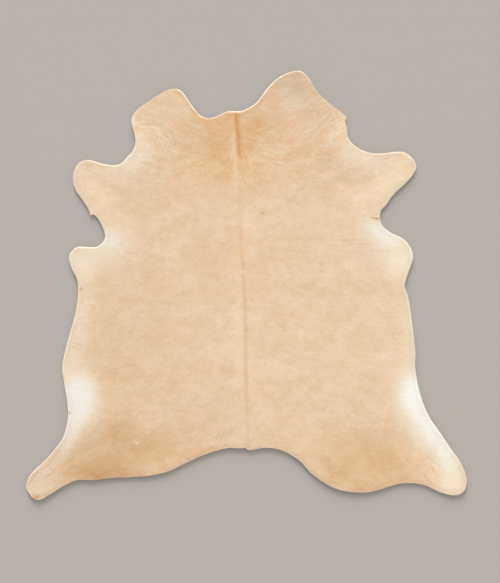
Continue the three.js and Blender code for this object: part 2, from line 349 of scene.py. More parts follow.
# Small spots and streaks of other hair: dark and orange-brown ones, and light flecks
SPOTS = table("across along half_across half_along turn strength tone", [
    (0.081, 0.355, 0.009, 0.008, 0, 0.70, COPPER),
    (0.366, 0.105, 0.008, 0.006, 0, 0.60, COPPER),
    (-0.120, -0.415, 0.006, 0.006, 0, 0.50, DEEP),
    (-0.120, -0.503, 0.006, 0.006, 0, 0.50, DEEP),
    (-0.869, -0.625, 0.007, 0.007, 0, 0.60, DEEP),
    (-0.815, -0.018, 0.012, 0.006, 20, 0.50, DEEP),
    (-1.034, -1.040, 0.018, 0.010, 30, 0.80, DEEP),
    (-0.017, 0.066, 0.009, 0.007, 0, 0.85, WHITE),
    (-0.169, -0.106, 0.009, 0.006, 0, 0.55, CREAM),
    (-0.536, -0.772, 0.010, 0.006, -30, 0.60, CREAM),
    (-0.972, -0.880, 0.020, 0.0025, 50, 1.00, ORANGE),
    (-0.962, -0.925, 0.022, 0.0025, 40, 0.95, ORANGE),
    (-0.864, -0.861, 0.020, 0.0025, 40, 0.95, ORANGE),
    (-0.884, -0.917, 0.018, 0.0025, 35, 0.90, ORANGE),
    (0.793, -0.862, 0.024, 0.0025, -55, 1.00, ORANGE),
    (0.874, -0.850, 0.022, 0.0025, 40, 0.75, ORANGE),
    (0.915, -0.902, 0.022, 0.0025, -62, 1.00, ORANGE),
    (0.882, -0.941, 0.026, 0.0025, -48, 0.95, ORANGE),
    (0.810, -0.928, 0.010, 0.0025, -20, 0.80, ORANGE),
])

# Small light flecks, scattered by a seed over parts of the lower body
FLECKS = table("across along half_across half_along count", [
    (-0.55, -0.47, 0.17, 0.26, 26),
    (0.60, -0.50, 0.14, 0.26, 24),
    (0.20, -0.30, 0.70, 0.45, 18),
])
FLECK_LENGTH = 0.006
FLECK_STRENGTH = 0.60
FLECK_SIZES = (0.6, 1.2)
FLECK_STRENGTHS = (0.5, 1.3)
FLECK_WIDTHS = (0.5, 0.9)
FLECK_TURN = 60
FLECK_SEED = 71

# Lines in the coat: the crease and parting along the spine, fine wrinkles, darker and lighter streaks.
# Some are painted shade, in the crease and a small fold, and painted highlights on the neck's wrinkles
LINES = table("x1 y1 x2 y2 half_width strength tone", [
    # The crease at the neck: its dark lines are darker hair and partly painted shade of the crease
    (-0.047, 0.860, -0.044, 0.760, 0.013, 0.35, RUSSET),
    (-0.052, 0.860, -0.050, 0.795, 0.008, 0.80, COPPER),
    (-0.048, 0.800, -0.046, 0.740, 0.004, 0.80, COPPER),
    (-0.030, 0.745, -0.026, 0.640, 0.018, 0.26, RUSSET),
    (-0.041, 0.745, -0.037, 0.650, 0.009, 0.68, DEEP),
    (-0.041, 0.660, -0.036, 0.640, 0.006, 0.95, COPPER),
    (-0.066, 0.740, -0.062, 0.640, 0.013, 0.45, PALE),
    (-0.057, 0.620, -0.052, 0.440, 0.012, 0.38, PALE),
    (-0.036, 0.400, -0.022, 0.125, 0.010, 0.26, WARM),
    (0.036, 0.380, 0.040, 0.140, 0.022, 0.26, PALE),
    (-0.018, 0.125, -0.004, -0.220, 0.010, 0.24, UMBER),
    (-0.004, -0.220, -0.001, -0.560, 0.009, 0.25, UMBER),
    (0.002, -0.560, 0.006, -0.800, 0.007, 0.10, UMBER),
    (-0.042, 0.120, -0.042, -0.480, 0.020, 0.22, PALE),
    (0.436, 0.222, 0.560, 0.224, 0.003, 0.40, WARM),
    (0.500, 0.205, 0.640, 0.198, 0.003, 0.35, WARM),
    (0.455, 0.172, 0.580, 0.164, 0.003, 0.40, WARM),
    (0.600, 0.168, 0.710, 0.172, 0.003, 0.30, WARM),
    (0.520, 0.140, 0.600, 0.132, 0.003, 0.30, WARM),
    (0.340, -0.170, 0.470, -0.176, 0.004, 0.25, WARM),
    # A small fold by the right notch: painted shade
    (0.612, 0.331, 0.648, 0.327, 0.003, 0.80, DEEP),
    (-0.560, -0.160, -0.400, -0.150, 0.004, 0.20, WARM),
    # The next nine cream lines lie on the neck's wrinkles: painted highlights on their ridges
    (0.331, 0.778, 0.393, 0.830, 0.0028, 0.85, CREAM),
    (0.345, 0.776, 0.372, 0.803, 0.0025, 0.50, CREAM),
    (0.361, 0.764, 0.399, 0.797, 0.0028, 0.65, CREAM),
    (0.285, 0.752, 0.330, 0.772, 0.0025, 0.45, CREAM),
    (0.290, 0.700, 0.345, 0.738, 0.0025, 0.40, CREAM),
    (-0.415, 0.748, -0.377, 0.699, 0.0025, 0.55, CREAM),
    (-0.369, 0.781, -0.350, 0.748, 0.0025, 0.45, CREAM),
    (-0.410, 0.813, -0.377, 0.781, 0.0025, 0.50, CREAM),
    (-0.291, 0.710, -0.247, 0.678, 0.0025, 0.35, CREAM),
    (-0.555, 0.795, -0.505, 0.798, 0.0060, 0.60, CREAM),
    (-0.555, 0.782, -0.535, 0.784, 0.0030, 0.80, CREAM),
    (0.797, -0.080, 0.822, -0.260, 0.0040, 0.90, WHITE),
    (0.802, 0.185, 0.816, 0.110, 0.0040, 0.80, WHITE),
])

# Folds across the neck and wrinkles at the edges, each a curve through three places: a soft trough with a
# dark line in it, as painted shade, and a pale line to the head side of it, where the light comes from, as a
# painted highlight
FOLDS = table("x1 y1 x2 y2 x3 y3 half_width depth strength", [
    (-0.562, 0.774, -0.472, 0.793, -0.375, 0.745, 0.0045, 0.00042, 0.72),
    (-0.540, 0.756, -0.470, 0.770, -0.400, 0.735, 0.0035, 0.00030, 0.58),
    (-0.497, 0.757, -0.424, 0.725, -0.379, 0.699, 0.0040, 0.00030, 0.51),
    (-0.424, 0.770, -0.385, 0.725, -0.350, 0.668, 0.0040, 0.00030, 0.65),
    (-0.445, 0.760, -0.405, 0.710, -0.380, 0.670, 0.0035, 0.00024, 0.58),
    (-0.413, 0.820, -0.380, 0.792, -0.345, 0.757, 0.0040, 0.00030, 0.65),
    (-0.385, 0.800, -0.355, 0.765, -0.330, 0.725, 0.0035, 0.00024, 0.58),
    (-0.311, 0.819, -0.287, 0.800, -0.262, 0.772, 0.0040, 0.00030, 0.43),
    (-0.300, 0.716, -0.240, 0.706, -0.170, 0.698, 0.0036, 0.00016, 0.26),
    (-0.325, 0.725, -0.285, 0.690, -0.222, 0.639, 0.0036, 0.00018, 0.32),
    (-0.497, 0.614, -0.475, 0.600, -0.456, 0.585, 0.0045, 0.00024, 0.36),
    (0.482, 0.816, 0.430, 0.795, 0.392, 0.758, 0.0036, 0.00026, 0.60),
    (0.470, 0.830, 0.420, 0.812, 0.380, 0.780, 0.0032, 0.00022, 0.50),
    (0.410, 0.838, 0.355, 0.800, 0.297, 0.760, 0.0034, 0.00024, 0.48),
    (0.385, 0.825, 0.325, 0.762, 0.282, 0.732, 0.0034, 0.00020, 0.45),
    (0.400, 0.790, 0.350, 0.745, 0.315, 0.712, 0.0032, 0.00018, 0.42),
    (0.322, 0.849, 0.272, 0.800, 0.233, 0.771, 0.0034, 0.00018, 0.32),
    (0.252, 0.771, 0.190, 0.705, 0.116, 0.634, 0.0040, 0.00016, 0.24),
    (-0.878, -0.272, -0.840, -0.282, -0.795, -0.302, 0.0045, 0.00036, 0.65),
    (-0.870, -0.292, -0.836, -0.302, -0.800, -0.318, 0.0040, 0.00030, 0.51),
    (-0.985, -0.862, -0.968, -0.880, -0.950, -0.900, 0.0035, 0.00030, 0.40),
    (-0.966, -0.915, -0.952, -0.928, -0.940, -0.945, 0.0035, 0.00030, 0.35),
    (-1.040, -0.925, -1.028, -0.940, -1.015, -0.955, 0.0035, 0.00030, 0.35),
    (-0.846, -0.790, -0.840, -0.825, -0.832, -0.858, 0.0035, 0.00030, 0.35),
])
FOLD_PIECES = 6
FOLD_FULL_FROM = 0.15
FOLD_FULL_TO = 0.6
FOLD_FAR = 4  # half widths beyond which a fold no longer counts
FOLD_RELIEF_WIDTH = 1.3
# A fold's painted highlight and painted shade: their widths, the shade's share, the highlight's shift to the
# head side
FOLD_HIGHLIGHT_WIDTH = 0.8
FOLD_SHADE_WIDTH = 0.6
FOLD_SHADE_SHARE = 0.55
FOLD_HIGHLIGHT_SHIFT = 0.006

# Where long hair hangs over the cut edge; elsewhere it is trimmed short of it
SHAGGY = table("across along half_across half_along turn strength", [
    (-0.55, -0.93, 0.55, 0.10, 0, 1.0),
    (0.60, -0.98, 0.55, 0.12, 0, 1.0),
    (0.45, 0.88, 0.10, 0.14, 40, 1.0),
    (-0.46, 0.93, 0.14, 0.07, 30, 1.0),
    (-0.78, 0.44, 0.08, 0.16, -20, 1.0),
    (0.72, 0.40, 0.10, 0.12, 40, 1.0),
])

# The line of the spine, where the hair parts
SPINE = table("across along", [
    (0.003, -0.80),
    (-0.002, -0.56),
    (-0.007, -0.22),
    (-0.022, 0.125),
    (-0.036, 0.40),
    (-0.045, 0.60),
    (-0.050, 0.86),
])

# How far the hair closes over the parting: 0 leaves it open, 1 hides it
PARTING_CLOSES = table("along share", [
    (-0.62, 0.6),
    (-0.50, 0.0),
    (0.30, 0.0),
    (0.40, 0.9),
    (0.60, 0.9),
    (0.65, 0.0),
])

# Which way the hair lies on one side of the spine: turn is from tailward, outwards, in degrees
FLOW = table("across along turn", [
    (0.00, 0.80, 55),
    (0.10, 0.80, 112),
    (0.28, 0.80, 124),
    (0.45, 0.78, 128),
    (0.00, 0.62, 24),
    (0.13, 0.62, 70),
    (0.40, 0.60, 108),
    (0.75, 0.58, 98),
    (0.00, 0.30, 15),
    (0.14, 0.30, 62),
    (0.40, 0.33, 80),
    (0.66, 0.33, 86),
    (0.00, -0.05, 15),
    (0.14, -0.05, 62),
    (0.45, -0.02, 77),
    (0.80, -0.05, 82),
    (0.00, -0.42, 14),
    (0.15, -0.42, 56),
    (0.45, -0.42, 68),
    (0.82, -0.45, 74),
    (0.00, -0.76, 12),
    (0.25, -0.80, 58),
    (0.55, -0.82, 64),
    (0.88, -0.80, 58),
    (1.04, -1.00, 42),
])
FLOW_REACH = 0.05
SPINE_TURN = 0.020  # how near the spine the hair turns from one side's way to the other's

# Mottling of the coat: lumps of each size, and how far they move the colour between sandy and pale
MOTTLES = table("size strength seed", [
    (0.120, 0.085, 5),
    (0.060, 0.110, 8),
    (0.030, 0.130, 13),
    (0.015, 0.120, 17),
])
MOTTLE_STRETCH = 1.5
NECK_MOTTLING = 2.2

# How far, in metres, the ovals wander, in lumps of this size. The cream and white ones are steadier
WANDER = 0.035
WANDER_SIZE = 0.09
WANDER_SEEDS = (21, 22)
CREAM_STEADINESS = 2
WHITE_STEADINESS = 3
WHITE_SHARPNESS = 2

# The coat goes pale towards the cut edge, on the sides and forward of the rump
EDGE_PALE_DEPTH = 0.055
EDGE_PALE_STRENGTH = 0.50
SIDES_BEGIN = 0.35
SIDES_FULL = 0.70
RUMP_ENDS = -0.80
FLANKS_FULL = -0.55

# How much painted shade darkens the hair in a crease, and how deep the crease is where that is full
CREASE_SHADE = 0.22
CREASE_DEPTH = 0.0012


def cad_hide():
    """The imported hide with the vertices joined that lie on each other."""
    mesh = bmesh.new()
    mesh.from_mesh(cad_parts["hide"].data)
    bmesh.ops.remove_doubles(mesh, verts=mesh.verts, dist=MERGE)
    mesh.verts.index_update()
    return mesh


def cut_outline(mesh):
    """The foot of the hide's cut edge: its corner points in order, anticlockwise from above."""
    following = {}
    for face in mesh.faces:
        if abs(face.normal.z) > WALL_SLOPE:
            continue
        for loop in face.loops:
            ends = (loop.vert, loop.link_loop_next.vert)
            if max(end.co.z for end in ends) < FLOOR_BAND:
                following[ends[0]] = ends[1]
    start = next(iter(following))
    points = [start]
    while following[points[-1]] != start:
        points.append(following[points[-1]])
    return np.array([point.co.xy for point in points])


def rounded(points, step):
    """A smooth closed curve through the points, Catmull-Rom, with a point every step or so."""
    curve = []
    neighbours = [np.roll(points, shift, 0) for shift in (1, 0, -1, -2)]
    for before, here, there, after in zip(*neighbours):
        count = max(1, round(np.linalg.norm(there - here) / step))
        for part in np.arange(count) / count:
            bend = 2 * before - 5 * here + 4 * there - after
            twist = 3 * here - before - 3 * there + after
            curve.append(here + part / 2 * (there - before + part * (bend + part * twist)))
    return np.array(curve)


def outward(ring):
    """The unit vector that points out of the hide at each point of an anticlockwise ring."""
    along = np.roll(ring, -1, 0) - np.roll(ring, 1, 0)
    normal = np.column_stack([along[:, 1], -along[:, 0]])
    return normal / np.linalg.norm(normal, axis=1)[:, None]


def blurred(grid, times):
    """The grid smoothed with a small round brush, several times."""
    for _ in range(times):
        for axis in (0, 1):
            grid = (np.roll(grid, 1, axis) + 2 * grid + np.roll(grid, -1, axis)) / 4
    return grid


def blended(corners, across, along):
    """A value between four corners, which come low left, low right, high left and high right."""
    low = corners[0] * (1 - across) + corners[1] * across
    high = corners[2] * (1 - across) + corners[3] * across
    return low * (1 - along) + high * along


def clouds(x, y, size, seed):
    """Seeded soft lumps of this size, from -1 to 1."""
    lattice = np.random.default_rng(seed).uniform(-1, 1, (CLOUD_CELLS, CLOUD_CELLS))
    column = (CLOUD_COSINE * x + CLOUD_SINE * y) / size + CLOUD_SHIFT
    row = (CLOUD_COSINE * y - CLOUD_SINE * x) / size + CLOUD_SHIFT
    left = np.floor(column).astype(int)
    below = np.floor(row).astype(int)
    corners = [
        lattice[(below + up) % CLOUD_CELLS, (left + aside) % CLOUD_CELLS]
        for up in (0, 1)
        for aside in (0, 1)
    ]
    return blended(corners, ease(column - left, 0, 1), ease(row - below, 0, 1))


class Hide:
    """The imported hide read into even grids: its height, its troughs, and the distance to its cut edge."""

    def __init__(self):
        mesh = cad_hide()
        corners = cut_outline(mesh)
        self.ring = rounded(corners, EDGE_STEP)
        edge = rounded(corners, EDGE_SAMPLE)
        self.low = edge.min(0) - MARGIN
        self.high = -self.low  # the frame's origin is the middle of the hide's box
        self.across = np.arange(self.low[0], edge[:, 0].max() + MARGIN, CELL)
        self.along = np.arange(self.low[1], edge[:, 1].max() + MARGIN, CELL)
        height, self.inside_grid = self.survey(mesh, edge)
        mesh.free()
        height = np.where(self.inside_grid < EDGE_ROLL, np.maximum(height, FULL_COAT), height)
        closed = np.interp(self.along, PARTING_CLOSES["along"], PARTING_CLOSES["share"])[:, None]
        height = blurred(height, FINE_BLUR) * (1 - closed) + blurred(height, BROAD_BLUR) * closed
        self.height_grid = height - self.fold_relief()
        dips = np.clip(blurred(height, BROAD_BLUR) - self.height_grid, 0, None)
        self.trough_grid = dips * ease(self.inside_grid, TROUGH_STARTS, TROUGH_FULL)

    def survey(self, mesh, edge):
        """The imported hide's height at each cell, and how far inside the cut edge the cell is."""
        normal = outward(edge)
        tree = BVHTree.FromBMesh(mesh)
        near = KDTree(len(edge))
        for place, point in enumerate(edge):
            near.insert((*point, 0), place)
        near.balance()
        height = np.full((len(self.along), len(self.across)), LEATHER)
        inside = np.zeros_like(height)
        for row, y in enumerate(self.along):
            for column, x in enumerate(self.across):
                hit = tree.ray_cast(Vector((x, y, ABOVE)), Vector((0, 0, -1)))[0]
                if hit:
                    height[row, column] = hit.z
                place, gap = near.find((x, y, 0))[1:]
                side = (edge[place] - (x, y)) @ normal[place]
                sign = np.sign(side) if gap < NEAR_CELLS * CELL else (1 if hit else -1)
                inside[row, column] = sign * gap
        return height, inside

    def fold_relief(self):
        """How deep the folds of this script press into the coat, over the grid."""
        x, y = np.meshgrid(self.across, self.along)
        relief = np.zeros(x.size)
        for place, depth in enumerate(FOLDS["depth"]):
            cover = curve_weight(x.ravel(), y.ravel(), place, FOLD_RELIEF_WIDTH, 0)
            relief = np.maximum(relief, depth * cover)
        return relief.reshape(x.shape)

    def sample(self, grid, x, y):
        """The grid's value at each place, blended between the four cells round it."""
        column = np.clip((x - self.low[0]) / CELL, 0, grid.shape[1] - LAST_CELL)
        row = np.clip((y - self.low[1]) / CELL, 0, grid.shape[0] - LAST_CELL)
        left = column.astype(int)
        below = row.astype(int)
        corners = [grid[below + up, left + aside] for up in (0, 1) for aside in (0, 1)]
        return blended(corners, column - left, row - below)

    def top(self, x, y):
        """The height of the lying coat."""
        return self.sample(self.height_grid, x, y)

    def depth(self, x, y):
        """How far inside the cut edge each place is; negative outside."""
        return self.sample(self.inside_grid, x, y)

    def hair_bed(self, x, y, share=1):
        """The height at which the hair lies, or a share of the way up to it from the leather."""
        return LEATHER + (self.top(x, y) - LEATHER) * HAIR_LIES_AT * share

    def curl(self, x, y):
        """How far the edge curls up off the floor."""
        near = 1 - ease(self.depth(x, y), 0, CURL_REACH)
        return CURL_HEIGHT * near * (1 + CURL_UNEVEN * clouds(x, y, CURL_WAVE, CURL_SEED))

    def trough(self, x, y):
        """How far a crease dips below the coat round it."""
        return self.sample(self.trough_grid, x, y)


def oval_weight(x, y, marks, place, sharpness=1):
    """How strongly one oval of a table covers each place. A sharper one is more even inside."""
    turn = np.radians(marks["turn"][place])
    right = x - marks["across"][place]
    up = y - marks["along"][place]
    u = (right * np.cos(turn) + up * np.sin(turn)) / marks["half_across"][place]
    v = (up * np.cos(turn) - right * np.sin(turn)) / marks["half_along"][place]
    return marks["strength"][place] * np.exp(-(u * u + v * v) ** sharpness)


def rimmed_weight(x, y, marks, place):
    """An oval that is even inside, with a quick fade at its rim."""
    return oval_weight(x, y, marks, place, WHITE_SHARPNESS)


def gap_to_line(x, y, start, end):
    """The distance of each place from a straight line, and how far along it the nearest point is."""
    run = end - start
    part = np.clip(((x - start[0]) * run[0] + (y - start[1]) * run[1]) / (run @ run), 0, 1)
    return np.hypot(x - start[0] - part * run[0], y - start[1] - part * run[1]), part


def line_weight(x, y, lines, place):
    """How strongly one line of a table covers each place."""
    start = np.array([lines["x1"][place], lines["y1"][place]])
    end = np.array([lines["x2"][place], lines["y2"][place]])
    gap = gap_to_line(x, y, start, end)[0]
    return lines["strength"][place] * np.exp(-(gap / lines["half_width"][place]) ** 2)


def curve_weight(x, y, place, widen, shift):
    """How strongly one fold covers each place, from 0 to 1. It fades at both ends."""
    first, middle, last = (
        np.array([FOLDS["x" + end][place], FOLDS["y" + end][place] + shift]) for end in "123"
    )
    half_width = widen * FOLDS["half_width"][place]
    far = np.abs(last - first).max() + FOLD_FAR * half_width
    close = (np.abs(x - middle[0]) < far) & (np.abs(y - middle[1]) < far)
    pull = 2 * middle - (first + last) / 2  # bends the curve so that it goes through its middle
    parts = np.linspace(0, 1, FOLD_PIECES + 1)[:, None]
    points = first * (1 - parts) ** 2 + 2 * pull * parts * (1 - parts) + last * parts ** 2
    weight = np.zeros(len(x))
    for piece in range(FOLD_PIECES):
        gap, part = gap_to_line(x[close], y[close], points[piece], points[piece + 1])
        whole = (piece + part) / FOLD_PIECES
        fade = ease(whole, 0, FOLD_FULL_FROM) * (1 - ease(whole, FOLD_FULL_TO, 1))
        cover = fade * np.exp(-(gap / half_width) ** 2)
        weight[close] = np.maximum(weight[close], cover)
    return weight


def painted(colour, x, y, marks, weight):
    """The colour with each mark of a table laid over it in turn."""
    for place, tone in enumerate(marks["tone"]):
        cover = weight(x, y, marks, place)[:, None]
        colour = colour * (1 - cover) + shade(tone) * cover
    return colour


def towards_pale(y):
    """The change of colour from a darker hair to a paler one: sandy to pale, or amber to warm at the neck."""
    neck = ease(y, NECK_BEGINS, NECK_FULL)[:, None]
    return (shade(PALE) - shade(SAND)) * (1 - neck) + (shade(WARM) - shade(AMBER)) * neck


def fleck_marks():
    """The light flecks as a table of small ovals."""
    rng = np.random.default_rng(FLECK_SEED)
    marks = []
    for across, along, half_across, half_along, count in zip(*FLECKS.values()):
        for _ in range(count):
            right, up = rng.uniform(-1, 1, 2)
            size = FLECK_LENGTH * rng.uniform(*FLECK_SIZES)
            strength = FLECK_STRENGTH * rng.uniform(*FLECK_STRENGTHS)
            width = size * rng.uniform(*FLECK_WIDTHS)
            turn = rng.uniform(-FLECK_TURN, FLECK_TURN)
            place = (across + right * half_across, along + up * half_along)
            marks.append((*place, size, width, turn, strength, CREAM))
    return table("across along half_across half_along turn strength tone", marks)


def mottled(colour, x, y):
    """The colour with seeded lumps of paler and darker hair, stronger at the neck."""
    lumps = sum(
        strength * clouds(x / MOTTLE_STRETCH, y, size, int(seed))
        for size, strength, seed in zip(*MOTTLES.values())
    )
    lumps = lumps * at_neck(y, 1, NECK_MOTTLING)
    return colour + lumps[:, None] * towards_pale(y)


def paled(hide, colour, x, y):
    """The colour going towards cream at the cut edge along the sides."""
    depth = np.clip(hide.depth(x, y), 0, None)
    sides = ease(np.abs(x), SIDES_BEGIN, SIDES_FULL) * ease(y, RUMP_ENDS, FLANKS_FULL)
    cover = (EDGE_PALE_STRENGTH * np.exp(-depth / EDGE_PALE_DEPTH) * sides)[:, None]
    return colour + cover * (shade(CREAM) - colour)


def creased(hide, colour, x, y):
    """The colour with each fold's painted highlight and painted shade line, and painted shade where a crease
    is deep.
    """
    for place, strength in enumerate(FOLDS["strength"]):
        pale = strength * curve_weight(x, y, place, FOLD_HIGHLIGHT_WIDTH, FOLD_HIGHLIGHT_SHIFT)[:, None]
        dark = FOLD_SHADE_SHARE * strength * curve_weight(x, y, place, FOLD_SHADE_WIDTH, 0)[:, None]
        colour = colour + pale * (shade(CREAM) - colour)
        colour = colour + dark * (shade(DEEP) - colour)
    painted_crease_shade = (CREASE_SHADE * np.clip(hide.trough(x, y) / CREASE_DEPTH, 0, 1))[:, None]
    return colour + painted_crease_shade * (shade(RUSSET) - colour)


def coat_colour(hide, x, y):
    """The colour of the coat at each place, as display values."""
    place = np.array([x, y])
    wander = np.array([WANDER * clouds(x, y, WANDER_SIZE, seed) for seed in WANDER_SEEDS])
    colour = np.tile(shade(TAN), (len(x), 1))
    colour = painted(colour, *(place + wander), ZONES, oval_weight)
    colour = mottled(colour, x, y)
    colour = paled(hide, colour, x, y)
    colour = painted(colour, *(place + wander / CREAM_STEADINESS), MARKINGS, oval_weight)
    colour = painted(colour, *(place + wander / WHITE_STEADINESS), WHITES, rimmed_weight)
    colour = painted(colour, x, y, SPOTS, oval_weight)
    colour = painted(colour, x, y, fleck_marks(), oval_weight)
    colour = painted(colour, x, y, LINES, line_weight)
    return creased(hide, colour, x, y)


def hair_direction(x, y):
    """The unit vector along which the hair lies at each place."""
    pull = np.zeros((len(x), 2))
    x = x - np.interp(y, SPINE["along"], SPINE["across"])
    for across, along, turn in zip(*FLOW.values()):
        away = (np.abs(x) - across) ** 2 + (y - along) ** 2 + FLOW_REACH ** 2
        angle = np.radians(turn)
        pull += np.array([np.sin(angle), -np.cos(angle)]) / (away ** 2)[:, None]
    pull[:, 0] *= np.clip(x / SPINE_TURN, -1, 1)
    return pull / np.linalg.norm(pull, axis=1)[:, None]


def streaks(x, y):
    """Fine streaks that run the way the hair lies, from about -1 to 1."""
    lie = hair_direction(x, y)
    total = np.zeros(len(x))
    for back in np.linspace(-STREAK_REACH, STREAK_REACH, STREAK_STEPS):
        total += clouds(x + back * lie[:, 0], y + back * lie[:, 1], STREAK_WIDTH, STREAK_SEED)
    return total / STREAK_STEPS * STREAK_GAIN


def staggered(low, high, step, stray, seed):
    """Places in staggered rows over a box, each strayed by up to a share of the step."""
    rows = np.arange(low[1], high[1], step * ROW_SHARE)
    columns = np.arange(low[0], high[0], step)
    x, y = np.meshgrid(columns, rows)
    x[1::2] += step / 2
    shift = np.random.default_rng(seed).uniform(-stray, stray, (2, x.size)) * step
    return x.ravel() + shift[0], y.ravel() + shift[1]


def new_piece(name, points, triangles, materials):
    """A mesh of triangles with smooth shading, riding on the one body."""
    mesh = bpy.data.meshes.new(name)
    mesh.vertices.add(len(points))
    mesh.vertices.foreach_set("co", np.ascontiguousarray(points, np.float32).ravel())
    mesh.loops.add(triangles.size)
    mesh.loops.foreach_set("vertex_index", np.ascontiguousarray(triangles, np.int32).ravel())
    mesh.polygons.add(len(triangles))
    mesh.polygons.foreach_set("loop_start", np.arange(0, triangles.size, 3, dtype=np.int32))
    mesh.polygons.foreach_set("use_smooth", np.ones(len(triangles), bool))
    mesh.update()
    for material in materials:
        mesh.materials.append(material)
    piece = bpy.data.objects.new(name, mesh)
    bpy.context.scene.collection.objects.link(piece)
    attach(piece, "root")
    return piece


def paint_points(mesh, display):
    """Keeps the coat's colour at each point, for the material."""
    layer = mesh.color_attributes.new("coat", "FLOAT_COLOR", "POINT")
    layer.data.foreach_set("color", np.column_stack([linear(display), np.ones(len(display))]).ravel())


def keep_map(mesh, right, up):
    """Keeps a place on the baked picture for each corner of each triangle."""
    layer = mesh.uv_layers.new(name="OFBake")
    layer.data.foreach_set("uv", np.dstack([right, up]).astype(np.float32).ravel())


def spread(values):
    """The values moved and scaled so that they run from 0 to 1."""
    return (values - values.min()) / (values.max() - values.min())


def seen_from_above(points, faces):
    """Where each corner of each triangle lies in the points' box, across and along, from 0 to 1."""
    return [spread(points[:, axis])[faces] for axis in (0, 1)]


def triangulated(ring, x, y):
    """Triangles that fill the ring and join the places inside it. The points keep their order."""
    points = np.vstack([ring, np.column_stack([x, y])])
    made = delaunay_2d_cdt([Vector(point) for point in points], [], [list(range(len(ring)))], 1, NO_GAP)
    origin = np.array([given[0] for given in made[3]])
    return points, origin[np.array(made[2])]


def skin_field(hide, step, stray, clearance, seed):
    """Staggered places over the hide that keep clear of its cut edge."""
    x, y = staggered(hide.low, hide.high, step, stray, seed)
    clear = hide.depth(x, y) > clearance * step
    return x[clear], y[clear]


def wall_faces(starts, count):
    """The triangles down the cut edge, between rings of points that each begin at one of the starts."""
    here = np.arange(count)
    there = np.roll(here, -1)
    bands = []
    for upper, lower in zip(starts[:-1], starts[1:]):
        bands.append(np.column_stack([upper + here, lower + here, lower + there]))
        bands.append(np.column_stack([upper + here, lower + there, upper + there]))
    return np.vstack(bands)


def skin_shape(hide):
    """The skin's points and triangles, and for each triangle whether it is top, wall or underside."""
    ring = hide.ring
    count = len(ring)
    inset = ring - outward(ring) * CUT_BEVEL
    top, top_faces = triangulated(inset, *skin_field(hide, **TOP_FIELD))
    base, base_faces = triangulated(inset, *skin_field(hide, **UNDERSIDE_FIELD))
    top_height = hide.hair_bed(*top.T, ease(hide.depth(*top.T), COAT_STARTS, COAT_FULL))
    top_height[:count] = LEATHER
    points = np.vstack([
        np.column_stack([top, top_height]),
        np.column_stack([ring, np.full(count, LEATHER - CUT_BEVEL)]),
        np.column_stack([ring, np.full(count, CUT_BEVEL)]),
        np.column_stack([base, np.zeros(len(base))]),
    ])
    points[:, 2] += hide.curl(points[:, 0], points[:, 1])
    starts = np.cumsum([0, len(top), count, count])
    parts = [top_faces, wall_faces(starts, count), base_faces[:, ::-1] + starts[-1]]
    return points, np.vstack(parts), np.repeat([TOP, WALLS, UNDERSIDE], [len(part) for part in parts])


def skin_map(points, faces, parts, count):
    """Where the skin lies on the baked picture: its top, its underside, and the walls unrolled in bands."""
    right, up = seen_from_above(points, faces)
    up[parts == TOP] *= TOP_MAP_HEIGHT
    up[parts == UNDERSIDE] = UNDERSIDE_MAP_START + UNDERSIDE_MAP_HEIGHT * up[parts == UNDERSIDE]
    here = np.arange(count)
    runs = [np.column_stack([here, here, here + 1]), np.column_stack([here, here + 1, here + 1])]
    right[parts == WALLS] = np.vstack(runs * WALL_BANDS) / count
    levels = [
        corners
        for level in range(WALL_BANDS, 0, -1)
        for corners in ((level, level - 1, level - 1), (level, level - 1, level))
    ]
    up[parts == WALLS] = WALL_MAP_START + WALL_MAP_HEIGHT * np.repeat(levels, count, 0) / WALL_BANDS
    return right, up


def hide_skin(hide, materials):
    """The leather: the napped top under the coat, the bevelled cut edge, and the suede underside."""
    points, faces, parts = skin_shape(hide)
    piece = new_piece("hide_skin", points, faces, materials)
    piece.data.polygons.foreach_set("material_index", parts.astype(np.int32))
    place = points[:, :2].T
    furred = ease(hide.depth(*place), BARE_STRIP, BARE_STRIP + BARE_FADE)[:, None]
    # The napped top is the coat's colour darkened by painted shade, as between the locks
    paint_points(piece.data, shade(RIM) * (1 - furred) + coat_colour(hide, *place) * NAP_PAINTED_SHADE * furred)
    keep_map(piece.data, *skin_map(points, faces, parts, len(hide.ring)))
    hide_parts("hide")
    return piece


def lock_directions(x, y, rng):
    """The way each lock lies: with the hair, turned a little by chance and a little with its neighbours."""
    waves = WAVE_TURN * clouds(x, y, WAVE_SIZE, WAVE_SEED)
    turn = np.radians(rng.normal(0, LOCK_TURN, len(x)) + waves)
    lie = hair_direction(x, y)
    return np.column_stack([
        lie[:, 0] * np.cos(turn) - lie[:, 1] * np.sin(turn),
        lie[:, 0] * np.sin(turn) + lie[:, 1] * np.cos(turn),
    ])


def lock_places(hide):
    """The root of each lock, the way it lies, and its length. None hangs far over the cut edge."""
    x, y = staggered(hide.low, hide.high, LOCK_SPACING, LOCK_STRAY, LOCK_SEED)
    rooted = hide.depth(x, y) > LOCK_ROOT_INSET
    x = x[rooted]
    y = y[rooted]
    rng = np.random.default_rng(LAY_SEED)
    lie = lock_directions(x, y, rng)
    length = at_neck(y, LOCK_LENGTH, NECK_LOCK_LENGTH) * rng.uniform(*LOCK_SIZES, len(x))
    inner = ease(hide.depth(x, y), 0, EDGE_LOCK_REACH)
    length *= EDGE_LOCK_SHARE + (1 - EDGE_LOCK_SHARE) * inner
    shaggy = sum(oval_weight(x, y, SHAGGY, place) for place in range(len(SHAGGY["turn"])))
    shaggy = np.clip(shaggy * SHAGGY_GAIN, 0, 1)
    overhang = TRIMMED_OVERHANG + (SHAGGY_OVERHANG - TRIMMED_OVERHANG) * shaggy
    overhang += rng.uniform(-OVERHANG_STRAY, OVERHANG_STRAY, len(x))

    def too_far():
        return hide.depth(x + lie[:, 0] * length, y + lie[:, 1] * length) < -overhang

    for _ in range(SHORTENINGS):
        length = np.where(too_far(), length * SHORTENING, length)
    kept = ~too_far()
    order = np.argsort(y[kept], kind="stable")
    return [values[kept][order] for values in (x, y, lie, length)]


